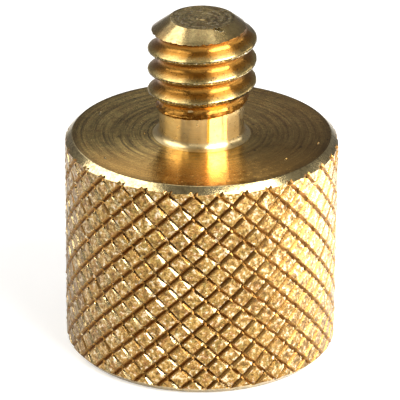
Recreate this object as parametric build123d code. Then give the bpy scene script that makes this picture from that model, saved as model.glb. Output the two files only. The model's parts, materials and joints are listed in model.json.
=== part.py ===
from build123d import *
from build123d.topology import SkipClean
import math
import os

# A turned brass adapter: a threaded stud on a knurled cylinder with a threaded socket below.
# Lengths are in millimetres. The origin is the centre of the flat base, +Z runs up the stud,
# and -Y is the front.

# Knurled body
body_diameter = 16.0
body_height = 13.1
top_chamfer = 0.44
base_chamfer = 0.5

# Diamond knurl: crossed grooves, with a flat pad left between them
knurl_grooves = 34  # grooves of each hand around the body
knurl_depth = 0.22
knurl_groove_width = 0.44
knurl_row_spacing = 0.725  # height from one row of diamonds to the next
knurl_row_start = 0.32  # height of the lowest row's middle above the base
knurl_turn = -3.1  # degrees, from the front towards +X, to the middle of a diamond

# Stud with its outer thread, right-hand
stud_length = 7.2
stud_crest_diameter = 6.3
stud_pitch = 25.4 / 20
stud_crest_width = 0.18
stud_root_width = 0.3279
stud_crest_height = 0.865  # from the body's top face to a crest, on the +X side
tip_cone_width = 1.27
tip_cone_height = 0.98

# Plain neck at the foot of the stud
neck_step = 0.03  # how far it is turned below the thread's root
neck_length = 1.87
neck_taper_height = 1.15
neck_fillet = 0.35

# Socket with its inner thread, right-hand, drilled and tapped up from the base
socket_crest_diameter = 7.98
socket_pitch = 25.4 / 16
socket_crest_width = 0.4937
socket_root_width = 0.17
socket_depth = 9.5
socket_thread_length = 8.4
socket_taper_height = 1.2
socket_mouth_step = 0.31  # how far the countersink opens past the thread's root
socket_drill_angle = 118.0

flank_angle = 60.0  # included angle of both threads
wall_arcs = 12  # a round wall is drawn as this many arcs
margin = 0.5  # how far a cutting shape runs past the metal
overlap = 0.15  # the same, where the next turn of a thread leaves less room

# Radii and heights that follow from these
flank_slope = math.tan(math.radians(flank_angle / 2))
body_radius = body_diameter / 2
stud_radius = stud_crest_diameter / 2
stud_root = stud_radius - (stud_pitch - stud_crest_width - stud_root_width) / (2 * flank_slope)
tip_radius = stud_radius - tip_cone_width
neck_radius = stud_root - neck_step
socket_radius = socket_crest_diameter / 2
socket_root = socket_radius + (socket_pitch - socket_crest_width - socket_root_width) / (2 * flank_slope)
mouth_radius = socket_root + socket_mouth_step
stud_top = body_height + stud_length
neck_top = body_height + neck_length


def turned(points):
    """A solid of revolution about Z from (radius, height) corners."""
    outline = Plane.XZ * Polyline(*points, close=True)
    return revolve(make_face(outline), Axis.Z)


def round_bar(radius, low, high):
    """An upright cylinder whose wall is several equal arcs."""
    step = 360 / wall_arcs
    edges = []
    for i in range(wall_arcs):
        edges.append(Edge.make_circle(radius, start_angle=i * step, end_angle=(i + 1) * step))
    disc = Pos(0, 0, low) * Face(Wire(edges))
    return extrude(disc, high - low, dir=(0, 0, 1), clean=False)


def threaded_bar(crest_radius, root_radius, crest_width, pitch, low, high, crest_height):
    """A bar with a right-hand V thread that has a crest at crest_height on the +X side."""
    past = crest_width / 2
    floor = pitch - crest_width - 2 * (crest_radius - root_radius) * flank_slope
    mouth = pitch - crest_width + 2 * past * flank_slope
    first = math.floor((low - crest_height) / pitch) - 1
    last = math.ceil((high - crest_height) / pitch)
    turns = []
    for k in range(first, last + 1):
        z = crest_height + (k + 0.5) * pitch
        groove = Polyline(
            (root_radius, z - floor / 2),
            (crest_radius + past, z - mouth / 2),
            (crest_radius + past, z + mouth / 2),
            (root_radius, z + floor / 2),
            close=True,
        )
        path = Helix(pitch=pitch, height=pitch, radius=root_radius, center=(0, 0, z))
        turns.append(sweep(make_face(Plane.XZ * groove), path=path, is_frenet=True))
    return round_bar(crest_radius, low, high).cut(*turns)


def at(radius, angle, z):
    """A point by radius, angle in radians from the front towards +X, and height."""
    return (radius * math.sin(angle), -radius * math.cos(angle), z)


def knurled_bar(low, high):
    """A bar with crossed grooves. It ends on the first rows of diamonds past low and high."""
    half = math.pi / knurl_grooves  # half the angle from one diamond to the next
    valley = body_radius - knurl_depth
    around = body_radius * half
    groove_gap = 2 * around * knurl_row_spacing / math.hypot(around, knurl_row_spacing)
    pad = half * (1 - knurl_groove_width / groove_gap)
    # how far the pad reaches up and down, so that each groove's flanks are flat
    a, b = valley * math.sin(half), valley * math.cos(half)
    c, e = body_radius * math.sin(pad), body_radius * math.cos(pad)
    reach = knurl_row_spacing * c * (e - b) / (a * (e - b) - (valley - b) * (a - c))

    first = math.floor((low - knurl_row_start) / knurl_row_spacing)
    last = math.ceil((high - knurl_row_start) / knurl_row_spacing)
    faces = []
    caps = {first: [], last: []}
    for row in range(first, last + 1):
        z = knurl_row_start + row * knurl_row_spacing
        for k in range(knurl_grooves):
            mid = math.radians(knurl_turn) + half * (2 * k + row % 2)
            left, right = at(valley, mid - half, z), at(valley, mid + half, z)
            pad_left, pad_right = at(body_radius, mid - pad, z), at(body_radius, mid + pad, z)
            if row in caps:
                caps[row] += [left, pad_left, pad_right]
            for way in (-1, 1):
                if row == (first if way < 0 else last):
                    continue
                tip = at(valley, mid, z + way * knurl_row_spacing)
                pad_tip = at(e, mid, z + way * reach)
                faces.append((left, tip, pad_tip, pad_left))
                faces.append((right, tip, pad_tip, pad_right))
                if row in caps:
                    faces.append((pad_left, pad_tip, pad_right))
            if row not in caps:
                low_tip, high_tip = at(e, mid, z - reach), at(e, mid, z + reach)
                faces.append((pad_left, low_tip, pad_right, high_tip))
    faces += caps.values()
    skin = [Face(Wire.make_polygon(corners, close=True)) for corners in faces]
    return Solid(Shell(skin))


def build_body():
    """The knurled cylinder, faced and chamfered at both ends, with the socket cut out."""
    outer = body_radius + margin
    bar = knurled_bar(-margin, body_height + margin)
    below = turned(
        [
            (0, 0),
            (body_radius - base_chamfer, 0),
            (outer, base_chamfer + margin),
            (outer, -body_radius),
            (0, -body_radius),
        ]
    )
    above = turned(
        [
            (0, body_height),
            (body_radius - top_chamfer, body_height),
            (outer, body_height - top_chamfer - margin),
            (outer, body_height + body_radius),
            (0, body_height + body_radius),
        ]
    )
    return bar.cut(below, above, *socket_space())


def build_stud():
    """The stud: threaded bar with its tip cone, and the plain neck with its fillet."""
    bar = threaded_bar(
        stud_radius,
        stud_root,
        stud_crest_width,
        stud_pitch,
        neck_top,
        stud_top + margin,
        body_height + stud_crest_height,
    )
    outer = stud_radius + margin
    cone_top = stud_top + 2 * margin
    tip_waste = turned(
        [
            (0, stud_top),
            (tip_radius, stud_top),
            (stud_radius, stud_top - tip_cone_height),
            (outer, stud_top - tip_cone_height),
            (outer, cone_top),
            (0, cone_top),
        ]
    )
    taper_waste = turned(
        [
            (neck_radius, neck_top),
            (stud_radius, neck_top + neck_taper_height),
            (outer, neck_top + neck_taper_height),
            (outer, neck_top - margin),
            (neck_radius, neck_top - margin),
        ]
    )
    foot = neck_radius + neck_fillet
    neck = (
        Polyline(
            (neck_radius, body_height + neck_fillet),
            (neck_radius, neck_top),
            (0, neck_top),
            (0, body_height - margin),
            (foot, body_height - margin),
            (foot, body_height),
        )
        + RadiusArc((foot, body_height), (neck_radius, body_height + neck_fillet), neck_fillet)
    )
    return revolve(make_face(Plane.XZ * neck), Axis.Z).fuse(bar.cut(tip_waste, taper_waste))


def socket_space():
    """The shapes that the drill, the tap and the countersink take out of the body."""
    drilled = round_bar(socket_radius, -margin, socket_depth)
    point_height = socket_radius / math.tan(math.radians(socket_drill_angle / 2))
    point = turned(
        [
            (0, socket_depth),
            (socket_radius, socket_depth),
            (0, socket_depth + point_height),
        ]
    )
    core_radius = socket_radius - overlap
    tap = threaded_bar(
        socket_root,
        core_radius,
        socket_root_width,
        socket_pitch,
        -margin,
        socket_thread_length,
        0,
    )
    taper_low = socket_thread_length - socket_taper_height
    outer = socket_root + margin
    tap = tap.cut(
        turned(
            [
                (socket_root, taper_low),
                (core_radius, socket_thread_length),
                (core_radius, socket_thread_length + margin),
                (outer, socket_thread_length + margin),
                (outer, taper_low),
            ]
        )
    )
    countersink = turned(
        [
            (0, -margin),
            (mouth_radius + margin, -margin),
            (socket_radius - margin, mouth_radius - socket_radius + margin),
            (0, mouth_radius - socket_radius + margin),
        ]
    )
    return drilled, point, tap, countersink


with SkipClean():
    adapter = build_body().fuse(build_stud())

os.makedirs("parts", exist_ok=True)
export_step(adapter, "parts/thread_adapter.step")
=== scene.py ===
"""Looks of the brass tripod thread adapter, built over its CAD node.

The adapter is one turned piece: a knurled cylinder with a threaded stud on top and a tapped
socket below. Shapes are modelled in millimetres and scaled to metres once, at the end. Z runs up
the stud, the base stands on the floor at z = 0 and -Y is the front.
"""

import json
import logging
import math
from collections.abc import Sequence
from dataclasses import dataclass, field
from enum import Enum

import bmesh
import bpy
from mathutils import Matrix, Vector, noise

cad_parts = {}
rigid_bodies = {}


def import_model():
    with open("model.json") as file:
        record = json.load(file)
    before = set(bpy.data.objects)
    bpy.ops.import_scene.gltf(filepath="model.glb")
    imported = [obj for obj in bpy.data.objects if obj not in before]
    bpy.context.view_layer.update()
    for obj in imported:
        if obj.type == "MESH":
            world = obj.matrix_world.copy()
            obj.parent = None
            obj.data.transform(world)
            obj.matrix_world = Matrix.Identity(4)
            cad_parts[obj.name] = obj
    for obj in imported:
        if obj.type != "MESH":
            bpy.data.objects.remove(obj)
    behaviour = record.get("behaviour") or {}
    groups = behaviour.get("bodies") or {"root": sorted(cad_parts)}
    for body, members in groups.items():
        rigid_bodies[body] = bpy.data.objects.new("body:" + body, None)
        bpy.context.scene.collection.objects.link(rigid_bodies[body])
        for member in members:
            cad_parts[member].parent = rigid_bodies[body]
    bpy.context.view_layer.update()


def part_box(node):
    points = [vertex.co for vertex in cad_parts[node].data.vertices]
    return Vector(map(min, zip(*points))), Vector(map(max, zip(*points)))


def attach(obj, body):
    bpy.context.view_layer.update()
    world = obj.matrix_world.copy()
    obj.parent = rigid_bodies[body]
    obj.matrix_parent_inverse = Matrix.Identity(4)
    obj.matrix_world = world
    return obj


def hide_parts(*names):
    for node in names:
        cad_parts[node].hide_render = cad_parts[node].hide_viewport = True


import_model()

MM = 0.001
NODE = "thread_adapter"
LOG = logging.getLogger("adapter")

# Blender seeds its vector noise from the clock unless it is told a seed
NOISE_SEED = 7

# Corners nearer than these, in millimetres, become one
WELD = 0.0005
THREAD_WELD = 0.001
KNURL_WELD = 0.003
CUT_WELD = 0.00001

# A surface this near to a height, in millimetres, lies at it
NEAR = 0.001
# A normal with more than this along Z belongs to a flat, level face
LEVEL = 0.999
# An edge that bends more than this stays sharp
CREASE = math.radians(28)

# Tarnish and wear on brass, and the colours of the painted side shade and painted front reflection
RED_TARNISH = "#B0653A"
OLIVE_TARNISH = "#86813F"
SIDE_SHADE_BROWN = "#A2702E"
FRONT_REFLECTION_ORANGE = "#FFC468"
RUBBED_BRIGHT = "#FFF3D6"
FILM_ROUGHNESS = 0.14


# Small helpers


def linear(hex_colour: str) -> tuple[float, float, float, float]:
    """Turn an sRGB hex colour into linear values.

    Args:
        hex_colour: six hex digits, with or without a leading #.

    Returns:
        Red, green and blue from 0 to 1, and an alpha of 1.
    """
    digits = hex_colour.lstrip("#")
    parts = [int(digits[i : i + 2], 16) / 255 for i in (0, 2, 4)]
    bent = [p / 12.92 if p <= 0.04045 else ((p + 0.055) / 1.055) ** 2.4 for p in parts]
    return (*bent, 1.0)


def add(
    tree: bpy.types.NodeTree, kind: str, settings: dict | None = None, **inputs
) -> bpy.types.Node:
    """Add a node, set its settings, and fill or link its inputs.

    Args:
        tree: the node tree.
        kind: the node's type name without the leading "ShaderNode".
        settings: attributes of the node.
        inputs: by input name, with _ for a space, or in_0, in_1 and so on by number. A socket
            is linked, and anything else is the input's own value.

    Returns:
        The new node.
    """
    node = tree.nodes.new("ShaderNode" + kind)
    for key, value in (settings or {}).items():
        setattr(node, key, value)
    for key, value in inputs.items():
        name = int(key[3:]) if key.startswith("in_") else key.replace("_", " ")
        if isinstance(value, bpy.types.NodeSocket):
            tree.links.new(value, node.inputs[name])
        else:
            node.inputs[name].default_value = value
    return node


class Join(Enum):
    """How two solids are put together."""

    UNION = "UNION"
    DIFFERENCE = "DIFFERENCE"
    INTERSECT = "INTERSECT"


def place_key(vert: bmesh.types.BMVert) -> float:
    """Make one number of a vertex's place to the micrometre, to sort by.

    Args:
        vert: the vertex, within 50 mm of the origin.

    Returns:
        A number that rises with the height, then with x and y.
    """
    x, y, z = (round(v * 1000) + 50000 for v in vert.co)
    return (z * 100000.0 + x) * 100000.0 + y


def corner_numbers(face: bmesh.types.BMFace) -> list[int]:
    """List the numbers of a face's corners in turn, from the lowest.

    Args:
        face: the face.

    Returns:
        The numbers.
    """
    numbers = [vert.index for vert in face.verts]
    first = numbers.index(min(numbers))
    return numbers[first:] + numbers[:first]


def to_object(bm: bmesh.types.BMesh, name: str) -> bpy.types.Object:
    """Put a bmesh into a new object in the scene, in an order that is the same each run.

    Args:
        bm: the mesh, which is freed.
        name: the object's name.

    Returns:
        The new object.
    """
    bm.verts.sort(key=place_key)
    bm.verts.index_update()
    mesh = bpy.data.meshes.new(name)
    faces = sorted(corner_numbers(face) for face in bm.faces)
    mesh.from_pydata([vert.co for vert in bm.verts], [], faces)
    bm.free()
    piece = bpy.data.objects.new(name, mesh)
    bpy.context.scene.collection.objects.link(piece)
    return piece


def combine(target: bpy.types.Object, other: bpy.types.Object, how: Join) -> None:
    """Join another solid to the target, or cut it away, and remove the other.

    Args:
        target: the object that keeps the result.
        other: the solid that is used up.
        how: the way they are put together.
    """
    modifier = target.modifiers.new("join", "BOOLEAN")
    modifier.operation = how.value
    modifier.solver = "EXACT"
    modifier.object = other
    posed = target.evaluated_get(bpy.context.evaluated_depsgraph_get())
    mesh = bpy.data.meshes.new_from_object(posed)
    target.modifiers.clear()
    before = target.data
    target.data = mesh
    bpy.data.meshes.remove(before)
    bpy.data.meshes.remove(other.data)


def draw_profile(
    bm: bmesh.types.BMesh, points: Sequence[tuple[float, float]]
) -> list[bmesh.types.BMVert]:
    """Draw an open profile in the X-Z plane.

    Args:
        bm: the mesh that it is added to.
        points: (radius, height) corners in order.

    Returns:
        The corners' vertices.
    """
    corners = [bm.verts.new((radius, 0, height)) for radius, height in points]
    for start, end in zip(corners, corners[1:]):
        bm.edges.new((start, end))
    return corners


def round_corners(
    bm: bmesh.types.BMesh, corners: list[bmesh.types.BMVert], amount: float, segments: int
) -> None:
    """Round corners of a profile.

    Args:
        bm: the mesh that holds the profile.
        corners: the corners' vertices.
        amount: how far along its edges each corner is cut back, mm.
        segments: lines that make up each rounded corner.
    """
    bmesh.ops.bevel(
        bm,
        geom=corners,
        offset=amount,
        offset_type="OFFSET",
        segments=segments,
        profile=0.5,
        affect="VERTICES",
        material=-1,
    )


def turned(
    name: str, points: list[tuple[float, float]], steps: int, rounding: dict[int, float]
) -> bpy.types.Object:
    """Turn a profile around Z into a closed solid.

    Args:
        name: the solid's name.
        points: (radius, height) corners, from the axis round to the axis.
        steps: facets around.
        rounding: how much of a corner, by its number in points, is rounded off.

    Returns:
        The solid.
    """
    bm = bmesh.new()
    corners = draw_profile(bm, points)
    for number, amount in rounding.items():
        round_corners(bm, [corners[number]], amount, segments=4)
    bmesh.ops.spin(
        bm,
        geom=bm.verts[:] + bm.edges[:],
        cent=(0, 0, 0),
        axis=(0, 0, 1),
        angle=math.tau,
        steps=steps,
        use_merge=True,
    )
    bmesh.ops.remove_doubles(bm, verts=bm.verts, dist=WELD)
    bmesh.ops.recalc_face_normals(bm, faces=bm.faces)
    return to_object(bm, name)


def trim(bm: bmesh.types.BMesh, low: float, high: float) -> None:
    """Cut an upright tube flat at two heights and close its ends.

    Args:
        bm: the open tube, which is changed.
        low: the lower height.
        high: the upper height.
    """
    for height, way in ((low, -1), (high, 1)):
        bmesh.ops.bisect_plane(
            bm,
            geom=bm.verts[:] + bm.edges[:] + bm.faces[:],
            dist=CUT_WELD,
            plane_co=(0, 0, height),
            plane_no=(0, 0, way),
            clear_outer=True,
        )
    rims = [edge for edge in bm.edges if edge.is_boundary]
    bmesh.ops.holes_fill(bm, edges=rims, sides=0)
    bmesh.ops.recalc_face_normals(bm, faces=bm.faces)


# The shapes


@dataclass(frozen=True)
class Shake:
    """Two sizes of noise that push corners about, as a blunt tool does.

    Attributes:
        coarse: waves of the larger noise per mm.
        fine: waves of the smaller noise per mm.
        fine_share: strength of the smaller noise, where the larger is 1.
    """

    coarse: float
    fine: float
    fine_share: float

    def push(self, place: Vector) -> Vector:
        """Give the push at a place, about 1 at most."""
        fine = self.fine_share * noise.noise_vector(place * self.fine)
        return noise.noise_vector(place * self.coarse) + fine

    def height(self, place: Vector) -> float:
        """Give the change of height at a place, about 1 at most."""
        return noise.noise(place * self.coarse) + self.fine_share * noise.noise(place * self.fine)


@dataclass(frozen=True)
class ScrewThread:
    """A right-hand V thread, in millimetres."""

    crest_radius: float
    pitch: float
    crest_width: float
    root_width: float
    crest_round: float
    root_round: float
    flank_angle: float = 60.0
    facets: int = 96

    @property
    def depth(self) -> float:
        """Radial depth from the crest to the root."""
        flanks = self.pitch - self.crest_width - self.root_width
        return flanks / (2 * math.tan(math.radians(self.flank_angle / 2)))

    @property
    def root_radius(self) -> float:
        """Distance from the axis to the root."""
        return self.crest_radius - self.depth

    def bar(self, name: str, low: float, high: float, crest_height: float) -> bpy.types.Object:
        """Cut the thread on a bar.

        Args:
            name: the bar's name.
            low: the bar's lower end.
            high: its upper end.
            crest_height: height of a crest on the +X side.

        Returns:
            The closed threaded bar.
        """
        below = math.ceil((crest_height - low) / self.pitch) + 2
        crest = crest_height - below * self.pitch
        turns = math.ceil((high - crest) / self.pitch) + 1
        low_root, high_root = crest - self.pitch / 2, crest + self.pitch / 2
        profile = (
            (self.root_radius, low_root),
            (self.root_radius, low_root + self.root_width / 2),
            (self.crest_radius, crest - self.crest_width / 2),
            (self.crest_radius, crest + self.crest_width / 2),
            (self.root_radius, high_root - self.root_width / 2),
            (self.root_radius, high_root),
        )
        bm = bmesh.new()
        corners = draw_profile(bm, profile)
        round_corners(bm, corners[2:4], self.crest_round, segments=3)
        round_corners(bm, [corners[1], corners[4]], self.root_round, segments=3)
        bmesh.ops.spin(
            bm,
            geom=bm.verts[:] + bm.edges[:],
            cent=(0, 0, 0),
            axis=(0, 0, 1),
            dvec=(0, 0, self.pitch / self.facets),
            angle=math.tau * turns,
            steps=self.facets * turns,
            use_merge=False,
        )
        bmesh.ops.remove_doubles(bm, verts=bm.verts, dist=THREAD_WELD)
        trim(bm, low, high)
        return to_object(bm, name)


@dataclass(frozen=True)
class Groove:
    """One hand of the knurl's grooves, in millimetres."""

    width: float
    depth: float
    skew: float = 0.0
    flare: float = 0.0


@dataclass
class DiamondKnurl:
    """Crossed knurling: two hands of grooves with a dished, ragged pad left between them."""

    radius: float
    grooves: int = 34
    row_spacing: float = 0.725
    row_start: float = 0.32
    turn: float = -3.1
    rising_right: Groove = Groove(0.29, 0.19)
    rising_left: Groove = Groove(0.25, 0.18, skew=0.05, flare=0.07)
    lip_width: float = 0.05
    lip_drop: float = 0.014
    dish_width: float = 0.09
    dish_depth: float = 0.03
    rag: Shake = Shake(6.0, 13.0, 0.7)
    raggedness: float = 0.05
    groove_share: float = 0.35  # how much of the raggedness reaches the grooves
    rough: Shake = Shake(5.0, 14.0, 0.6)
    unevenness: float = 0.02
    wear: float = 0.032  # how far the pads are worn below the bar's surface, on average
    tilt: float = 0.06
    skin: float = 0.002  # what the pads always stay below the bar's surface
    seed: int = 11

    @property
    def half_step(self) -> float:
        """Half the angle from one diamond to the next in its row."""
        return math.pi / self.grooves

    def stations(self, groove: Groove, side: float) -> list[tuple[float, float]]:
        """Where grid lines cross a diamond from groove to groove, and the height of each.

        Args:
            groove: the hand of grooves that is crossed.
            side: length of the diamond's side.

        Returns:
            Pairs of a place from -0.5 to 0.5 and a height below the bar's surface.
        """
        half = [
            (0.0, -groove.depth),
            (groove.width / 2, -self.lip_drop),
            (groove.width / 2 + self.lip_width, 0.0),
            (groove.width / 2 + self.lip_width + self.dish_width, -self.dish_depth),
        ]
        low = [(at / side - 0.5, height) for at, height in half]
        return low + [(-place, height) for place, height in reversed(low)]

    def cell(self) -> bmesh.types.BMesh:
        """Model one diamond flat: x runs around, y up and z out from the bar's surface.

        Returns:
            The diamond, with half a groove on each side.
        """
        around = self.radius * self.half_step
        side = math.hypot(around, self.row_spacing)
        across_right = self.stations(self.rising_right, side)
        across_left = self.stations(self.rising_left, side)
        count = len(across_right) - 1
        bm = bmesh.new()
        bmesh.ops.create_grid(bm, x_segments=count, y_segments=count, size=0.5)
        skew = self.rising_left.skew / side
        flare = self.rising_left.flare / side
        for vert in bm.verts:
            i, j = round((vert.co.x + 0.5) * count), round((vert.co.y + 0.5) * count)
            a, drop_a = across_left[i]
            b, drop_b = across_right[j]
            if 0 < j < count:
                # the wheel drags the bottom of its groove across, and opens one wall downwards
                a -= 2 * b * skew * (i in (0, count))
                a += 2 * b * flare * (i in (count - 1, count - 2))
            vert.co = Vector(((a - b) * around, (a + b) * self.row_spacing, min(drop_a, drop_b)))
        return bm

    def wrap(self, bm: bmesh.types.BMesh) -> None:
        """Bend the flat diamond around the bar.

        Args:
            bm: the flat diamond, which is changed.
        """
        for vert in bm.verts:
            angle = math.radians(self.turn) + vert.co.x / self.radius
            out = self.radius + vert.co.z
            vert.co = Vector(
                (out * math.sin(angle), -out * math.cos(angle), self.row_start + vert.co.y)
            )

    def roughen(self, bm: bmesh.types.BMesh) -> None:
        """Tilt each pad a little and make its lips ragged, as a knurling tool leaves them.

        Args:
            bm: the knurled tube, which is changed.
        """
        depth = self.rising_right.depth
        for vert in bm.verts:
            out = math.hypot(vert.co.x, vert.co.y)
            raised = (out - self.radius + depth) / depth
            angle = math.atan2(vert.co.x, -vert.co.y) - math.radians(self.turn)
            place = angle / self.half_step
            row = (vert.co.z - self.row_start) / self.row_spacing
            # a corner halfway between two diamonds always goes to the same one
            a, b = round((place + row) / 2 + 0.01), round((row - place) / 2 + 0.01)
            near_row, near_place = a + b, a - b
            diamond = Vector((near_row, near_place % (2 * self.grooves), self.seed))
            lean_around, lean_up, sink = (2 * v - 1 for v in noise.cell_vector(diamond))
            x = (place - near_place) * self.half_step * self.radius
            z = (row - near_row) * self.row_spacing
            raised = max(raised, 0.0)
            change = self.tilt * (lean_around * x + lean_up * z) - self.wear
            change += self.unevenness * (self.rough.height(vert.co) + 0.5 * sink)
            share = self.groove_share + (1 - self.groove_share) * raised
            vert.co += self.rag.push(vert.co) * self.raggedness * share
            now = math.hypot(vert.co.x, vert.co.y)
            new = min(out + raised * change, self.radius - self.skin)
            vert.co.x *= new / now
            vert.co.y *= new / now

    def bar(self, name: str, low: float, high: float) -> bpy.types.Object:
        """Knurl a bar.

        Args:
            name: the bar's name.
            low: its lower end.
            high: its upper end.

        Returns:
            The closed knurled bar.
        """
        bm = self.cell()
        upper = bmesh.ops.duplicate(bm, geom=bm.verts[:] + bm.edges[:] + bm.faces[:])["geom"]
        upper_verts = [item for item in upper if isinstance(item, bmesh.types.BMVert)]
        shift = (self.radius * self.half_step, self.row_spacing, 0)
        bmesh.ops.translate(bm, verts=upper_verts, vec=shift)
        self.wrap(bm)
        bmesh.ops.spin(
            bm,
            geom=bm.verts[:] + bm.edges[:] + bm.faces[:],
            cent=(0, 0, 0),
            axis=(0, 0, 1),
            angle=math.tau * (self.grooves - 1) / self.grooves,
            steps=self.grooves - 1,
            use_duplicate=True,
        )
        pair = 2 * self.row_spacing
        first = math.floor((low - self.row_start) / pair) - 1
        last = math.ceil((high - self.row_start) / pair)
        rows = bm.verts[:] + bm.edges[:] + bm.faces[:]
        bmesh.ops.translate(bm, verts=bm.verts, vec=(0, 0, first * pair))
        for _ in range(first, last):
            rows = bmesh.ops.duplicate(bm, geom=rows)["geom"]
            moved = [item for item in rows if isinstance(item, bmesh.types.BMVert)]
            bmesh.ops.translate(bm, verts=moved, vec=(0, 0, pair))
        bmesh.ops.remove_doubles(bm, verts=bm.verts, dist=KNURL_WELD)
        self.roughen(bm)
        trim(bm, low, high)
        return to_object(bm, name)


@dataclass
class Dent:
    """A nick or pit, cut with a squashed ball.

    Attributes:
        radius: distance from the axis, mm.
        azimuth: degrees from the front towards +X.
        height: mm above the base.
        size: half lengths around, outwards and up, mm.
        tilt: degrees that it is turned about the upright.
    """

    radius: float
    azimuth: float
    height: float
    size: tuple[float, float, float]
    tilt: float = 0.0

    @property
    def centre(self) -> Vector:
        """Middle of the ball."""
        turn = math.radians(self.azimuth)
        return Vector((self.radius * math.sin(turn), -self.radius * math.cos(turn), self.height))

    def build(self) -> bpy.types.Object:
        """Make the ball that is cut away.

        Returns:
            The squashed ball.
        """
        bm = bmesh.new()
        bmesh.ops.create_icosphere(bm, subdivisions=3, radius=1.0)
        bmesh.ops.scale(bm, verts=bm.verts, vec=self.size)
        spin = Matrix.Rotation(math.radians(self.azimuth + self.tilt), 3, "Z")
        bmesh.ops.rotate(bm, verts=bm.verts, cent=(0, 0, 0), matrix=spin)
        bmesh.ops.translate(bm, verts=bm.verts, vec=self.centre)
        return to_object(bm, "dent")


# the nick at the edge of the stud's flat end, as in the photograph
TIP_DENT = Dent(1.97, 28.0, 20.22, (0.36, 0.13, 0.22), -24.0)
# pits and knocks in the top face, as in the photograph
TOP_DENTS = (
    Dent(3.17, 14.7, 13.1, (0.16, 0.07, 0.06)),
    Dent(3.3, -86.6, 13.1, (0.07, 0.07, 0.05)),
    Dent(6.6, -114.9, 13.1, (0.3, 0.07, 0.05), 20.0),
    Dent(6.66, -56.0, 13.1, (0.2, 0.06, 0.04), -30.0),
    Dent(6.1, 52.0, 13.1, (0.22, 0.07, 0.05), 15.0),
    Dent(6.9, 78.0, 13.1, (0.14, 0.08, 0.05)),
)


@dataclass
class KnurledBody:
    """The knurled cylinder, faced and chamfered at both ends."""

    radius: float
    height: float = 13.1
    top_chamfer: float = 0.44
    base_chamfer: float = 0.5
    edge_round: float = 0.035
    margin: float = 0.4
    facets: int = 240

    def build(self) -> bpy.types.Object:
        """Make the body.

        Returns:
            The closed body, without its socket.
        """
        knurl = DiamondKnurl(radius=self.radius)
        body = knurl.bar("knurled bar", -self.margin, self.height + self.margin)
        outer = self.radius + self.margin
        points = [
            (0, 0),
            (self.radius - self.base_chamfer, 0),
            (outer, self.base_chamfer + self.margin),
            (outer, self.height - self.top_chamfer - self.margin),
            (self.radius - self.top_chamfer, self.height),
            (0, self.height),
        ]
        rounding = {1: self.edge_round, 4: self.edge_round}
        blank = turned("body blank", points, self.facets, rounding)
        for dent in TOP_DENTS:
            combine(blank, dent.build(), Join.DIFFERENCE)
        combine(body, blank, Join.INTERSECT)
        return body


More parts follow.
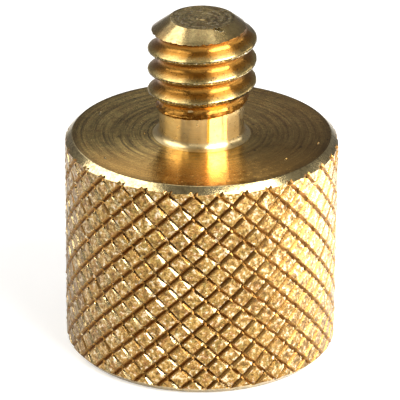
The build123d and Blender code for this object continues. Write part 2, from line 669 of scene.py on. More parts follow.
@dataclass
class ThreadedStud:
    """The stud: thread, tip cone, plain neck and the fillet at its foot."""

    base: float
    length: float = 7.2
    tip_cone_width: float = 1.27
    tip_cone_height: float = 0.98
    neck_step: float = 0.03
    neck_length: float = 1.87
    taper_height: float = 1.15
    fillet: float = 0.42
    crest_height: float = 0.865
    sink: float = 0.004
    margin: float = 0.4
    facets: int = 144
    tear: Shake = Shake(4.5, 11.0, 0.8)
    torn: float = 0.045  # length of a full tear
    inward: float = 0.4  # how much tears lean towards the axis
    crest_share: float = 0.3  # of a full tear, on the crests
    rim_share: float = 1.4  # on the cone's rim
    runout_share: float = 0.9  # on the run-out
    runout_slope: float = 0.09
    thread: ScrewThread = field(
        default_factory=lambda: ScrewThread(
            crest_radius=3.15,
            pitch=25.4 / 20,
            crest_width=0.18,
            root_width=0.3279,
            crest_round=0.08,
            root_round=0.16,
        )
    )

    @property
    def top(self) -> float:
        """Height of the flat end."""
        return self.base + self.length

    @property
    def neck_top(self) -> float:
        """Height at which the thread's run-out starts."""
        return self.base + self.neck_length

    @property
    def neck_radius(self) -> float:
        """Distance from the axis to the neck."""
        return self.thread.root_radius - self.neck_step

    @property
    def foot_radius(self) -> float:
        """Distance from the axis to the outer edge of the fillet."""
        return self.neck_radius + self.fillet

    @property
    def flat_radius(self) -> float:
        """Radius of the flat end."""
        return self.thread.crest_radius - self.tip_cone_width

    def envelope(self) -> list[tuple[float, float]]:
        """Profile that the thread is cut down to: run-out ridges below, cone and flat end above.

        Returns:
            (radius, height) corners, from the axis round to the axis.
        """
        top, neck_top, neck = self.top, self.neck_top, self.neck_radius
        crest, flat = self.thread.crest_radius, self.flat_radius
        lean = (crest - neck) / self.taper_height
        cone = self.tip_cone_width / self.tip_cone_height
        outer = crest + self.margin
        points = [
            (0, neck_top - self.margin / 2),
            (neck - lean * self.margin / 2, neck_top - self.margin / 2),
            (neck, neck_top),
        ]
        # the die leaves a few fine ridges where it stops
        for rise in (0.08, 0.24, 0.4, 0.56):
            points.append((neck + lean * rise + 0.09, neck_top + rise - 0.03))
            points.append((neck + lean * rise - 0.02, neck_top + rise + 0.05))
        points.append((outer, neck_top + (outer - neck) / lean))
        points.append((outer, top - self.tip_cone_height - self.margin / cone))
        # the parting tool leaves a shallow dish with a nub in its middle
        points += [
            (flat, top),
            (0.8 * flat, top - 0.012),
            (0.5 * flat, top - 0.03),
            (0.2 * flat, top - 0.045),
            (0.15 * flat, top - 0.01),
            (0, top - 0.006),
        ]
        return points

    def on_cone(self, place: Vector, out: float) -> bool:
        """Tell whether a place lies on the cone, below its edge at the flat end.

        Args:
            place: the place, mm.
            out: its distance from the axis.

        Returns:
            Whether it does.
        """
        drop = self.top - place.z
        cone_drop = (out - self.flat_radius) * self.tip_cone_height / self.tip_cone_width
        return 0.1 < drop < self.tip_cone_height and abs(drop - cone_drop) < 0.02

    def wear(self, piece: bpy.types.Object) -> None:
        """Tear the cone's rim, the crests and the run-out a little, as a dull die does.

        This comes after every join, because torn surfaces can cross and upset a join.

        Args:
            piece: the joined piece, which is changed.
        """
        low = self.neck_top - 0.1
        for vert in piece.data.vertices:
            if vert.co.z < low:
                continue
            place = vert.co.copy()
            out = math.hypot(place.x, place.y)
            on_cone = self.on_cone(place, out)
            share = self.crest_share if out > self.thread.crest_radius - 0.1 else 0.0
            if on_cone:
                share = self.rim_share
            if place.z < self.neck_top + 0.6:
                share = max(share, self.runout_share)
            if not share:
                continue
            east, north = place.x / out, place.y / out
            push = self.tear.push(place) - self.inward * Vector((east, north, 0))
            if on_cone:
                # the rim is ragged, and the cone itself stays true
                slide = Vector((east, north, 0)) * self.tip_cone_width
                slide.z = -self.tip_cone_height
                slide.normalize()
                push = push.dot(slide) * slide
            vert.co = place + push * self.torn * share

    def build(self) -> bpy.types.Object:
        """Make the stud, with its foot sunk into the body.

        Returns:
            The closed stud.
        """
        top, neck_top, neck = self.top, self.neck_top, self.neck_radius
        foot_height = self.base - self.margin
        stud = self.thread.bar(
            "stud", neck_top - self.margin, top + self.margin, self.base + self.crest_height
        )
        points = self.envelope()
        rim = points.index((self.flat_radius, top))
        blank = turned("stud blank", points, self.facets, {rim: 0.03})
        for vert in blank.data.vertices:
            # the run-out follows the thread, so it rises towards +X
            if vert.co.z < top - self.tip_cone_height - 1.5 * self.margin:
                vert.co.z += self.runout_slope * vert.co.x
        combine(stud, blank, Join.INTERSECT)
        combine(stud, TIP_DENT.build(), Join.DIFFERENCE)
        foot = self.foot_radius
        sunk = self.base - self.sink
        core = [
            (0, neck_top + self.margin / 2),
            (neck, neck_top + self.margin / 2),
            (neck, sunk),
            (foot + self.margin, sunk),
            (foot + self.margin, foot_height),
            (0, foot_height),
        ]
        combine(stud, turned("neck", core, self.facets, {2: self.fillet}), Join.UNION)
        return stud


@dataclass
class TappedSocket:
    """The threaded socket in the base: drilled, countersunk and tapped."""

    crest_radius: float = 3.99
    depth: float = 9.5
    drill_angle: float = 118.0
    mouth_step: float = 0.31
    thread_length: float = 8.4
    taper_height: float = 1.2
    overlap: float = 0.15
    margin: float = 0.4
    facets: int = 144
    thread_pitch: float = 25.4 / 16
    crest_width: float = 0.4937
    root_width: float = 0.17
    flank_angle: float = 60.0

    def cut(self, body: bpy.types.Object) -> None:
        """Cut the socket out of the body.

        Args:
            body: the solid body, which is changed.
        """
        slope = math.tan(math.radians(self.flank_angle / 2))
        tap_thread = ScrewThread(
            crest_radius=self.crest_radius
            + (self.thread_pitch - self.crest_width - self.root_width) / (2 * slope),
            pitch=self.thread_pitch,
            crest_width=self.root_width,
            root_width=self.crest_width - 2 * self.overlap * slope,
            crest_round=0.03,
            root_round=0.03,
        )
        root = tap_thread.crest_radius
        core = self.crest_radius - self.overlap
        mouth = root + self.mouth_step
        tap = tap_thread.bar("tap", -self.margin, self.thread_length, 0)
        taper_low = self.thread_length - self.taper_height * (1 + self.margin / (root - core))
        taper = [
            (0, -2 * self.margin),
            (root + self.margin, -2 * self.margin),
            (root + self.margin, taper_low),
            (core, self.thread_length),
            (0, self.thread_length),
        ]
        combine(tap, turned("tap blank", taper, self.facets, {}), Join.INTERSECT)
        point = self.crest_radius / math.tan(math.radians(self.drill_angle / 2))
        drilled = [
            (0, -self.margin),
            (mouth + self.margin, -self.margin),
            (self.crest_radius, mouth - self.crest_radius),
            (self.crest_radius, self.depth),
            (0, self.depth + point),
        ]
        combine(body, turned("drill", drilled, self.facets, {}), Join.DIFFERENCE)
        combine(body, tap, Join.DIFFERENCE)


# The finishes


class Zone(Enum):
    """Surfaces of the adapter that were made in different ways, with knurl walls and stud faces
    split further for painted light and shade.
    """

    FACED = 0
    CHAMFER = 1
    PAD = 2
    FLANK = 3
    GROOVE = 4
    NECK = 5
    THREAD = 6
    CREST = 7
    CONE = 8
    END = 9
    SOCKET = 10
    TRAILING = 11


@dataclass(frozen=True)
class CutBrass:
    """Free-cutting brass as a lathe, tap or knurling tool leaves it.

    Attributes:
        name: the material's name.
        clean: colour of the bare metal.
        aged: colour where handling has dulled it, in clouds a millimetre or two across.
        aged_share: how far the dull clouds reach, from 0 to 1.
        roughness: mean roughness.
        spread: how much the roughness varies.
        grain: size of the fine grain, mm.
        grain_depth: depth of the grain, mm.
        mottle: how strongly the grain's low spots take the stain.
        stain: colour of the stain in low spots and tool marks.
        ring_spacing: distance between tool marks, mm, or 0 for none.
        ring_depth: depth of the tool marks, mm.
        ring_tone: how strongly the stain sits in the tool marks.
        anisotropy: how strongly tool marks stretch a reflection.
        glint: how strongly the grain's high spots are rubbed bright.
        blush: how strongly reddish and olive tarnish spots show.
        pits: how strongly scattered pin pricks show.
        painted_side_shade: painted shade: how much browner the +X side of the part is made.
        painted_front_reflection: painted reflection: how much the -Y side of the part is made a warm
            orange.
        crown: slope by which the surface falls off outwards.
        film: how complete the film of oil is, which whitens strong highlights.
        darkening_from: distance in mm from the axis at which a darker colour starts, or 0 for none;
            at the bottom of the knurl's grooves and the thread's roots it is painted shade.
        darkening_full: distance at which it covers the metal, on either side of darkening_from.
        darkening_colour: the darker colour.
    """

    name: str
    clean: str
    aged: str
    aged_share: float
    roughness: float
    spread: float
    grain: float = 0.1
    grain_depth: float = 0.0
    mottle: float = 0.0
    stain: str = "#6B4E28"
    ring_spacing: float = 0.0
    ring_depth: float = 0.0
    ring_tone: float = 0.0
    anisotropy: float = 0.0
    glint: float = 0.0
    blush: float = 0.0
    pits: float = 0.0
    painted_side_shade: float = 0.0
    painted_front_reflection: float = 0.0
    crown: float = 0.0
    film: float = 0.0
    darkening_from: float = 0.0
    darkening_full: float = 0.0
    darkening_colour: str = "#4A3214"

    def blend(
        self,
        tree: bpy.types.NodeTree,
        base: bpy.types.NodeSocket | tuple,
        over: str,
        where: bpy.types.NodeSocket,
        span: tuple[float, float],
        share: float,
    ) -> bpy.types.NodeSocket:
        """Lay one colour over another where a pattern is high.

        Args:
            tree: the node tree.
            base: the colour underneath.
            over: hex colour laid on top.
            where: the pattern.
            span: the pattern's values at which the top colour starts and is full.
            share: how much of the top colour shows at full.

        Returns:
            The blended colour.
        """
        amount = add(
            tree, "MapRange", in_0=where, in_1=span[0], in_2=span[1], in_3=0.0, in_4=share
        ).outputs[0]
        mixed = add(tree, "Mix", {"data_type": "RGBA"}, in_0=amount, in_6=base, in_7=linear(over))
        return mixed.outputs[2]

    def tool_marks(
        self, tree: bpy.types.NodeTree, mm: bpy.types.NodeSocket, out: bpy.types.NodeSocket
    ) -> bpy.types.NodeSocket:
        """Draw broken rings around the axis, spaced along the surface from the axis outwards.

        Args:
            tree: the node tree.
            mm: the place on the part, in millimetres.
            out: distance from the axis, in millimetres.

        Returns:
            The ring pattern, about 0.5 on average.
        """
        axes = add(tree, "SeparateXYZ", in_0=mm).outputs
        along = add(tree, "Math", {"operation": "ADD"}, in_0=out, in_1=axes[2]).outputs[0]
        steps = add(tree, "Math", {"operation": "DIVIDE"}, in_0=along, in_1=self.ring_spacing)
        east = add(tree, "Math", {"operation": "DIVIDE"}, in_0=axes[0], in_1=out).outputs[0]
        north = add(tree, "Math", {"operation": "DIVIDE"}, in_0=axes[1], in_1=out).outputs[0]
        ring = add(tree, "CombineXYZ", in_0=east, in_1=north, in_2=steps.outputs[0]).outputs[0]
        return add(tree, "TexNoise", Vector=ring, Scale=1.0, Detail=5.0, Roughness=0.72).outputs[0]

    def across_marks(
        self, tree: bpy.types.NodeTree, mm: bpy.types.NodeSocket
    ) -> bpy.types.NodeSocket:
        """Find the way along the surface and square to the turning marks.

        Args:
            tree: the node tree.
            mm: the place on the part, in millimetres.

        Returns:
            The direction in which reflections stretch.
        """
        cross = {"operation": "CROSS_PRODUCT"}
        along = add(tree, "VectorMath", cross, in_0=(0, 0, 1), in_1=mm).outputs[0]
        facing = add(tree, "NewGeometry").outputs["Normal"]
        return add(tree, "VectorMath", cross, in_0=facing, in_1=along).outputs[0]

    def colour(
        self,
        tree: bpy.types.NodeTree,
        mm: bpy.types.NodeSocket,
        out: bpy.types.NodeSocket,
        grain: bpy.types.NodeSocket,
        rings: bpy.types.NodeSocket | None,
    ) -> bpy.types.NodeSocket:
        """Build the colour: bare metal, then tarnish, stain, rubbed spots, tool marks, painted side
        shade, painted front reflection, pits and a darker colour by distance from the axis, which is
        painted shade in grooves and roots.

        Args:
            tree: the node tree.
            mm: the place on the part, in millimetres.
            out: distance from the axis, in millimetres.
            grain: the fine grain.
            rings: the tool marks, or None where there are none.

        Returns:
            The colour.
        """
        clouds = add(tree, "TexNoise", Vector=mm, Scale=0.6, Detail=6.0, Roughness=0.65).outputs[0]
        bare = linear(self.clean)
        colour = self.blend(tree, bare, self.aged, clouds, (0.35, 0.7), self.aged_share)
        if self.blush:
            spots = add(tree, "TexNoise", Vector=mm, Scale=3.2, Detail=3.0, Roughness=0.6).outputs[1]
            red, olive, _ = add(tree, "SeparateColor", in_0=spots).outputs
            colour = self.blend(tree, colour, RED_TARNISH, red, (0.5, 0.68), self.blush)
            colour = self.blend(tree, colour, OLIVE_TARNISH, olive, (0.5, 0.68), self.blush)
        if self.mottle:
            colour = self.blend(tree, colour, self.stain, grain, (0.55, 0.36), self.mottle)
        if self.glint:
            colour = self.blend(tree, colour, RUBBED_BRIGHT, grain, (0.54, 0.66), self.glint)
        if rings and self.ring_tone:
            colour = self.blend(tree, colour, self.stain, rings, (0.58, 0.36), self.ring_tone)
        x, y, _ = add(tree, "SeparateXYZ", in_0=mm).outputs
        # painted shade: the +X side is made browner
        if self.painted_side_shade:
            colour = self.blend(tree, colour, SIDE_SHADE_BROWN, x, (-2.0, 6.0), self.painted_side_shade)
        # painted reflection: the -Y side is made a warm orange
        if self.painted_front_reflection:
            colour = self.blend(tree, colour, FRONT_REFLECTION_ORANGE, y, (-2.0, -5.5), self.painted_front_reflection)
        if self.pits:
            prick = add(tree, "TexVoronoi", Vector=mm, Scale=0.7).outputs["Distance"]
            colour = self.blend(tree, colour, self.stain, prick, (0.09, 0.05), self.pits)
        # a darker colour by distance from the axis: painted shade at the bottom of the knurl's
        # grooves and the thread's roots, and a darker band near the rim of the faced top
        if self.darkening_from:
            ragged = abs(self.darkening_full - self.darkening_from)
            where = add(
                tree, "Math", {"operation": "MULTIPLY_ADD"}, in_0=grain, in_1=ragged, in_2=out
            ).outputs[0]
            edge = (self.darkening_from + ragged / 2, self.darkening_full + ragged / 2)
            colour = self.blend(tree, colour, self.darkening_colour, where, edge, 1.0)
        return colour

    def relief(
        self,
        tree: bpy.types.NodeTree,
        out: bpy.types.NodeSocket,
        grain: bpy.types.NodeSocket,
        rings: bpy.types.NodeSocket | None,
    ) -> bpy.types.NodeSocket:
        """Build the fine relief: grain, a slope outwards, and tool marks.

        Args:
            tree: the node tree.
            out: distance from the axis, in millimetres.
            grain: the fine grain.
            rings: the tool marks, or None where there are none.

        Returns:
            The bumped normal.
        """
        normal = add(
            tree, "Bump", Height=grain, Strength=1.0, Distance=self.grain_depth * MM
        ).outputs[0]
        if self.crown:
            slope = {"Strength": 1.0, "Distance": self.crown * MM, "Normal": normal}
            normal = add(tree, "Bump", {"invert": True}, Height=out, **slope).outputs[0]
        if rings:
            marks = {"Strength": 1.0, "Distance": self.ring_depth * MM, "Normal": normal}
            normal = add(tree, "Bump", Height=rings, **marks).outputs[0]
        return normal

    def make(self) -> bpy.types.Material:
        """Build the material.

        Returns:
            The node material.
        """
        material = bpy.data.materials.new(self.name)
        material.use_nodes = True
        tree = material.node_tree
        tree.nodes.clear()
        place = add(tree, "TexCoord").outputs["Object"]
        mm = add(tree, "Mapping", in_0=place, Scale=(1 / MM, 1 / MM, 1 / MM)).outputs[0]
        multiply = {"operation": "MULTIPLY"}
        flat = add(tree, "VectorMath", multiply, in_0=mm, in_1=(1, 1, 0)).outputs[0]
        out = add(tree, "VectorMath", {"operation": "LENGTH"}, in_0=flat).outputs["Value"]
        grain = add(
            tree, "TexNoise", Vector=mm, Scale=1 / self.grain, Detail=4.0, Roughness=0.65
        ).outputs[0]
        rings = self.tool_marks(tree, mm, out) if self.ring_spacing else None
        normal = self.relief(tree, out, grain, rings)
        rough = add(
            tree,
            "MapRange",
            in_0=grain,
            in_1=0.35,
            in_2=0.65,
            in_3=self.roughness + self.spread,
            in_4=self.roughness - self.spread,
        ).outputs[0]
        shader = add(
            tree,
            "BsdfPrincipled",
            Base_Color=self.colour(tree, mm, out, grain, rings),
            Metallic=1.0,
            Roughness=rough,
            Normal=normal,
            Anisotropic=self.anisotropy,
            Coat_Weight=self.film,
            Coat_Roughness=FILM_ROUGHNESS,
            Coat_Normal=normal,
        )
        if self.anisotropy:
            tree.links.new(self.across_marks(tree, mm), shader.inputs["Tangent"])
        add(tree, "OutputMaterial", Surface=shader.outputs[0])
        return material


FINISHES: dict[Zone, CutBrass] = {
    # faced on the lathe, then handled: an olive-brown film with brighter rings worn through it,
    # and a dark band near the rim; painted shade browns the +X side, and a painted reflection
    # makes the -Y side warm orange
    Zone.FACED: CutBrass(
        "faced brass", "#FFDC86", "#CFA250", 0.7, 0.22, 0.06, grain=0.3, grain_depth=0.004,
        mottle=0.25, stain="#4A3616", ring_spacing=0.16, ring_depth=0.01, ring_tone=0.8,
        anisotropy=0.85, blush=0.4, pits=0.8, painted_side_shade=0.5, painted_front_reflection=0.75, crown=0.04,
        darkening_from=7.0, darkening_full=7.9, darkening_colour="#6E5226",
    ),
    # chamfered with a hand-fed tool: bright, with a fine chatter that breaks up reflections
    Zone.CHAMFER: CutBrass(
        "chamfered brass", "#FAE2A4", "#B8924A", 0.6, 0.19, 0.05, grain=0.25, grain_depth=0.006,
        mottle=0.6, stain="#62481C", ring_spacing=0.08, ring_depth=0.003, anisotropy=0.4,
        film=0.7,
    ),
    # pads of the knurl: torn and pitted by the wheel, so they glitter over a stained ground
    Zone.PAD: CutBrass(
        "knurled brass pad", "#D8AC58", "#A07434", 0.7, 0.22, 0.1, grain=0.24, grain_depth=0.085,
        mottle=0.9, stain="#5E3F16", glint=0.9, blush=0.55, film=0.4,
    ),
    # walls facing up and towards +X: pressed smooth and given a brighter brass than the other walls,
    # painted light for the side that faces the key lamp, with painted shade towards the groove
    # bottom
    Zone.FLANK: CutBrass(
        "pressed brass flank, painted light", "#F0D498", "#B98E50", 0.5, 0.18, 0.05, grain=0.14, grain_depth=0.02,
        mottle=0.3, blush=0.2, darkening_from=7.86, darkening_full=7.8, darkening_colour="#8E6830",
        film=0.6,
    ),
    # all other knurl walls and the deep crossings: brown, painted shade for walls that face away
    # from the lamps, with more painted shade towards the groove bottom
    Zone.GROOVE: CutBrass(
        "brass groove, painted shade", "#C99C5A", "#9A7038", 0.7, 0.3, 0.1, grain=0.1, grain_depth=0.02,
        mottle=0.5, stain="#6A4A24", blush=0.3, darkening_from=7.95, darkening_full=7.82, darkening_colour="#7C5626",
    ),
    # walls facing down and towards -X, on the -X side: nearly black, painted shade that gives each
    # pad a dark edge
    Zone.TRAILING: CutBrass(
        "brass wall, painted black shade", "#5E421E", "#3E2A12", 0.7, 0.45, 0.1, grain=0.1, grain_depth=0.02,
        mottle=0.5, stain="#2A1C0C",
    ),
    # plain turned neck: smooth and golden, with faint turning lines
    Zone.NECK: CutBrass(
        "turned brass neck", "#F9DFA2", "#D6AE68", 0.5, 0.31, 0.05, grain=0.3, grain_depth=0.002,
        ring_spacing=0.06, ring_depth=0.0012, ring_tone=0.15, anisotropy=0.8, pits=0.4,
        film=0.4,
    ),
    # cut thread: golden flanks with fine lines along them, orange-brown towards the root as painted
    # shade
    Zone.THREAD: CutBrass(
        "threaded brass", "#F4D890", "#C8A058", 0.5, 0.3, 0.05, grain=0.2, grain_depth=0.004,
        mottle=0.2, ring_spacing=0.07, ring_depth=0.002, ring_tone=0.35, anisotropy=0.9,
        blush=0.2, darkening_from=3.1, darkening_full=2.8, darkening_colour="#B88238",
    ),
    # crest flats, faces looking down and the nick in the tip: dull dark olive, painted shade
    Zone.CREST: CutBrass(
        "dull brass crest, painted shade", "#8E7A4C", "#5E5030", 0.8, 0.27, 0.1, grain=0.12, grain_depth=0.02,
        mottle=0.6, stain="#352A14", glint=0.6,
    ),
    # cone of the tip: turned bright
    Zone.CONE: CutBrass(
        "turned brass cone", "#F4D894", "#B8904A", 0.7, 0.22, 0.06, grain=0.2, grain_depth=0.004,
        mottle=0.4, stain="#6E5226", ring_spacing=0.09, ring_depth=0.001, ring_tone=0.35,
        anisotropy=0.4, blush=0.25, film=0.5,
    ),
    # flat end: olive film with turned rings, scuffed by use
    Zone.END: CutBrass(
        "turned brass end", "#FFE29C", "#B09050", 0.8, 0.3, 0.08, grain=0.25, grain_depth=0.04,
        mottle=0.7, stain="#4A3A1C", ring_spacing=0.22, ring_depth=0.02, ring_tone=0.8,
        anisotropy=0.5, glint=0.6, blush=0.6,
    ),
    # drilled and tapped socket: a little dull, with oil left in it
    Zone.SOCKET: CutBrass(
        "tapped brass", "#D9B670", "#8C6B3A", 0.6, 0.28, 0.08, grain=0.2, grain_depth=0.004,
        ring_spacing=0.12, ring_depth=0.002, ring_tone=0.4,
    ),
}


@dataclass
class Adapter:
    """The whole adapter: body, stud and socket as one piece, dressed zone by zone."""

    body: KnurledBody
    stud: ThreadedStud
    socket: TappedSocket
    shade_edge: float = 0.6  # walls facing down and towards -X get painted black shade up to this x, mm

    def stud_zone(self, centre: Vector, normal: Vector, out: float) -> Zone:
        """Tell which tool made a face of the stud, and which faces get painted shade.

        Args:
            centre: the face's middle, mm.
            normal: its outward normal.
            out: distance of its middle from the axis, mm.

        Returns:
            The zone that the face belongs to.
        """
        stud = self.stud
        cone = stud.tip_cone_width / math.hypot(stud.tip_cone_width, stud.tip_cone_height)
        if centre.z > stud.top - 0.06 and normal.z > 0.95:
            return Zone.END
        # painted shade: the walls of the nick get the dark crest colour
        if (centre - TIP_DENT.centre).length < 0.38 and abs(normal.z - cone) > 0.06:
            return Zone.CREST
        if centre.z > stud.top - stud.tip_cone_height and normal.z > cone - 0.03:
            return Zone.CONE
        if centre.z < stud.base + 2 * stud.fillet or out < stud.neck_radius + 0.005:
            return Zone.NECK
        # painted shade: crest flats and faces looking down get the dark crest colour
        crest = out > stud.thread.crest_radius - 0.1 and normal.z < 0.3
        return Zone.CREST if crest or normal.z < -0.7 else Zone.THREAD

    def knurl_zone(self, centre: Vector, normal: Vector, out: float) -> Zone:
        """Tell which part of the knurl or of its chamfers a face is.

        Args:
            centre: the face's middle, mm.
            normal: its outward normal.
            out: distance of its middle from the axis, mm.

        Returns:
            The zone that the face belongs to.
        """
        body = self.body
        radial = (centre.x * normal.x + centre.y * normal.y) / out
        near_end = (
            centre.z > body.height - body.top_chamfer - 0.05 or centre.z < body.base_chamfer + 0.05
        )
        diagonal = math.sqrt(0.5)
        on_chamfer = abs(abs(normal.z) - diagonal) < 0.02 and abs(radial - diagonal) < 0.02
        if near_end and (on_chamfer or abs(normal.z) > 0.72):
            return Zone.CHAMFER
        if radial > 0.85:
            return Zone.PAD
        around = (centre.x * normal.y - centre.y * normal.x) / out
        # painted shade: walls facing down and towards -X, on the -X side, go nearly black
        if max(around, normal.z) < 0 and centre.x < self.shade_edge:
            return Zone.TRAILING
        # painted light and shade: walls facing up and towards +X get the bright flank, all other
        # walls and the deep crossings the brown groove
        crossing = out < body.radius - 0.125
        return Zone.FLANK if min(around, normal.z) > 0 and not crossing else Zone.GROOVE

    def zone(self, centre: Vector, normal: Vector) -> Zone:
        """Tell which tool made a face, and which knurl walls and stud faces get painted light and
        shade.

        Args:
            centre: the face's middle, mm.
            normal: its outward normal.

        Returns:
            The zone that the face belongs to.
        """
        out = math.hypot(centre.x, centre.y)
        if centre.z > self.body.height + NEAR:
            return self.stud_zone(centre, normal, out)
        at_end = centre.z > self.body.height - 0.01 or centre.z < 0.01
        if abs(normal.z) > LEVEL and at_end:
            return Zone.FACED
        if out < self.body.radius - 1.5:
            return Zone.SOCKET
        return self.knurl_zone(centre, normal, out)

    def build(self) -> bpy.types.Object:
        """Make the finished piece.

        Returns:
            The dressed adapter, in metres.
        """
        piece = self.body.build()
        LOG.info("knurled body: %d faces", len(piece.data.polygons))
        self.socket.cut(piece)
        LOG.info("socket cut: %d faces", len(piece.data.polygons))
        stud = self.stud.build()
        LOG.info("stud: %d faces", len(stud.data.polygons))
        combine(piece, stud, Join.UNION)
        self.stud.wear(piece)
        piece.name = "adapter_metal"
        piece.data.name = "adapter_metal"
        self.dress(piece)
        return piece

    def under_stud(self, face: bmesh.types.BMFace) -> bool:
        """Tell whether a face is a part of the body's top face that the stud covers.

        Args:
            face: the face.

        Returns:
            Whether it is.
        """
        centre = face.calc_center_median()
        at_top = abs(centre.z - self.body.height) < NEAR and abs(face.normal.z) > LEVEL
        return at_top and math.hypot(centre.x, centre.y) < self.stud.foot_radius

    def dress(self, piece: bpy.types.Object) -> None:
        """Give each zone its finish, set which edges are sharp, and scale to metres.

        Args:
            piece: the joined piece, which is changed.
        """
        mesh = piece.data
        mesh.materials.clear()
        for zone in Zone:
            mesh.materials.append(FINISHES[zone].make())
        bm = bmesh.new()
        bm.from_mesh(mesh)
        bmesh.ops.dissolve_degenerate(bm, dist=WELD, edges=bm.edges)
        # the union can leave the disc of the top face that the stud covers
        buried = [face for face in bm.faces if self.under_stud(face)]
        bmesh.ops.delete(bm, geom=buried, context="FACES")
        for face in bm.faces:
            face.smooth = True
            face.material_index = self.zone(face.calc_center_median(), face.normal).value
        for edge in bm.edges:
            zones = {face.material_index for face in edge.link_faces}
            edge.smooth = len(zones) == 1 and edge.calc_face_angle(0.0) < CREASE
        bmesh.ops.scale(bm, verts=bm.verts, vec=(MM, MM, MM))
        bm.to_mesh(mesh)
        bm.free()
        weighted = piece.modifiers.new("flat faces stay flat", "WEIGHTED_NORMAL")
        weighted.mode = "FACE_AREA"
        weighted.keep_sharp = True


# The studio


# where the camera looks, mm
AIM = (-0.0672, 0.0, 8.783)


@dataclass(frozen=True)
class Softbox:
    """A soft rectangular lamp.

    Attributes:
        name: the lamp's name.
        azimuth: degrees from the front towards +X.
        elevation: degrees above the floor, seen from the middle of the adapter.
        distance: from the middle of the adapter, mm.
        width: mm.
        height: mm.
        radiance: brightness of its face, where 1 is white.
    """

    name: str
    azimuth: float
    elevation: float
    distance: float
    width: float
    height: float
    radiance: float

    def build(self, target: Vector) -> bpy.types.Object:
        """Place the lamp.

        Args:
            target: the point that it faces, in metres.

        Returns:
            The lamp.
        """
        az, el = math.radians(self.azimuth), math.radians(self.elevation)
        away = Vector((math.sin(az) * math.cos(el), -math.cos(az) * math.cos(el), math.sin(el)))
        data = bpy.data.lights.new(self.name, "AREA")
        data.shape = "RECTANGLE"
        data.size = self.width * MM
        data.size_y = self.height * MM
        data.energy = self.radiance * math.pi * data.size * data.size_y
        lamp = bpy.data.objects.new(self.name, data)
        lamp.location = target + away * self.distance * MM
        lamp.rotation_euler = away.to_track_quat("Z", "Y").to_euler()
        bpy.context.scene.collection.objects.link(lamp)
        return lamp


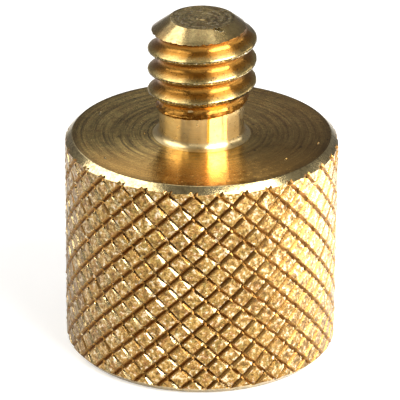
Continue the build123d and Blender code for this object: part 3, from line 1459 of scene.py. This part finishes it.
@dataclass
class Studio:
    """Floor, lamps, surroundings and camera."""

    target: Vector
    elevation: float = 24.642
    distance: float = 208.967
    roll: float = 0.3895
    focal: float = 320.6
    floor_size: float = 1200.0
    floor_colour: str = "#D8D6D2"
    floor_glow: float = 0.5
    floor_sheen: float = 0.14
    surroundings: float = 0.16
    softboxes: tuple[Softbox, ...] = (
        Softbox("key", 46.0, 39.0, 80.0, 60.0, 60.0, 12.5),
        Softbox("side", -90.0, 47.0, 200.0, 190.0, 125.0, 3.2),
        Softbox("side low", -80.0, 26.0, 210.0, 110.0, 36.0, 1.2),
        Softbox("front", -8.0, 24.0, 260.0, 230.0, 60.0, 1.35),
        Softbox("right", 100.0, 20.0, 150.0, 110.0, 32.0, 2.6),
        Softbox("top", 170.0, 78.0, 150.0, 90.0, 80.0, 1.0),
        Softbox("back", -155.0, 36.0, 200.0, 160.0, 44.0, 0.7),
        Softbox("low card", 94.0, -11.0, 20.0, 20.0, 9.0, 5.0),
    )

    def camera(self) -> None:
        """Place the camera at the fitted view."""
        el, turn = math.radians(self.elevation), math.radians(self.roll)
        forward = Vector((0, math.cos(el), -math.sin(el)))
        right, up = Vector((1, 0, 0)), Vector((0, math.sin(el), math.cos(el)))
        across = math.cos(turn) * right + math.sin(turn) * up
        above = math.cos(turn) * up - math.sin(turn) * right
        data = bpy.data.cameras.new("camera")
        data.sensor_width = 36.0
        data.lens = self.focal
        data.clip_start = 0.01
        data.clip_end = 10.0
        place = self.target - forward * self.distance * MM
        columns = Matrix((across, above, -forward)).transposed().to_4x4()
        lens = bpy.data.objects.new("camera", data)
        lens.matrix_world = Matrix.Translation(place) @ columns
        bpy.context.scene.collection.objects.link(lens)
        bpy.context.scene.camera = lens

    def floor(self) -> bpy.types.Object:
        """Lay the pale floor.

        Returns:
            The floor.
        """
        bm = bmesh.new()
        bmesh.ops.create_grid(bm, x_segments=1, y_segments=1, size=self.floor_size * MM / 2)
        bmesh.ops.translate(bm, verts=bm.verts, vec=(0, 0, -0.01 * MM))
        floor = to_object(bm, "floor")
        material = bpy.data.materials.new("pale paper")
        material.use_nodes = True
        tree = material.node_tree
        tree.nodes.clear()
        place = add(tree, "TexCoord").outputs["Object"]
        fibre = add(tree, "TexNoise", Vector=place, Scale=900.0, Detail=4.0).outputs[0]
        tone = add(tree, "MapRange", in_0=fibre, in_1=0.3, in_2=0.7, in_3=0.97, in_4=1.0).outputs[0]
        paper = add(
            tree, "Mix", {"data_type": "RGBA", "blend_type": "MULTIPLY"},
            in_0=1.0, in_6=linear(self.floor_colour), in_7=tone,
        ).outputs[2]
        matte = add(tree, "BsdfDiffuse", Color=paper).outputs[0]
        path = add(tree, "LightPath").outputs
        mirrored = add(
            tree, "Math", {"operation": "ADD", "use_clamp": True},
            in_0=path["Is Glossy Ray"], in_1=path["Is Transmission Ray"],
        ).outputs[0]
        direct = add(
            tree, "Math", {"operation": "MULTIPLY"}, in_0=path["Is Camera Ray"], in_1=self.floor_glow
        ).outputs[0]
        strength = add(
            tree, "Math", {"operation": "MULTIPLY_ADD"},
            in_0=mirrored, in_1=self.floor_sheen, in_2=direct,
        ).outputs[0]
        glow = add(tree, "Emission", Color=(1, 1, 1, 1), Strength=strength).outputs[0]
        both = add(tree, "AddShader", in_0=matte, in_1=glow).outputs[0]
        add(tree, "OutputMaterial", Surface=both)
        floor.data.materials.append(material)
        return floor

    def build(self) -> None:
        """Set up the whole studio."""
        self.camera()
        self.floor()
        for softbox in self.softboxes:
            softbox.build(self.target)
        world = bpy.data.worlds.new("studio")
        world.use_nodes = True
        back = world.node_tree.nodes["Background"]
        back.inputs["Color"].default_value = (1, 1, 1, 1)
        back.inputs["Strength"].default_value = self.surroundings
        bpy.context.scene.world = world
        bpy.context.scene.view_settings.view_transform = "Standard"


def main() -> None:
    """Build the adapter and the studio."""
    logging.basicConfig(level=logging.INFO, format="%(name)s: %(message)s")
    noise.seed_set(NOISE_SEED)
    low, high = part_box(NODE)
    body = KnurledBody(radius=round(high.x / MM, 2))
    adapter = Adapter(body, ThreadedStud(base=body.height), TappedSocket())
    piece = adapter.build()
    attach(piece, "root")
    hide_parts(NODE)
    triangles = sum(len(face.vertices) - 2 for face in piece.data.polygons)
    LOG.info("%s: %d triangles", piece.name, triangles)
    studio = Studio(target=Vector(AIM) * MM)
    studio.build()
    LOG.info("studio: %d softboxes", len(studio.softboxes))


if __name__ == "__main__":
    main()
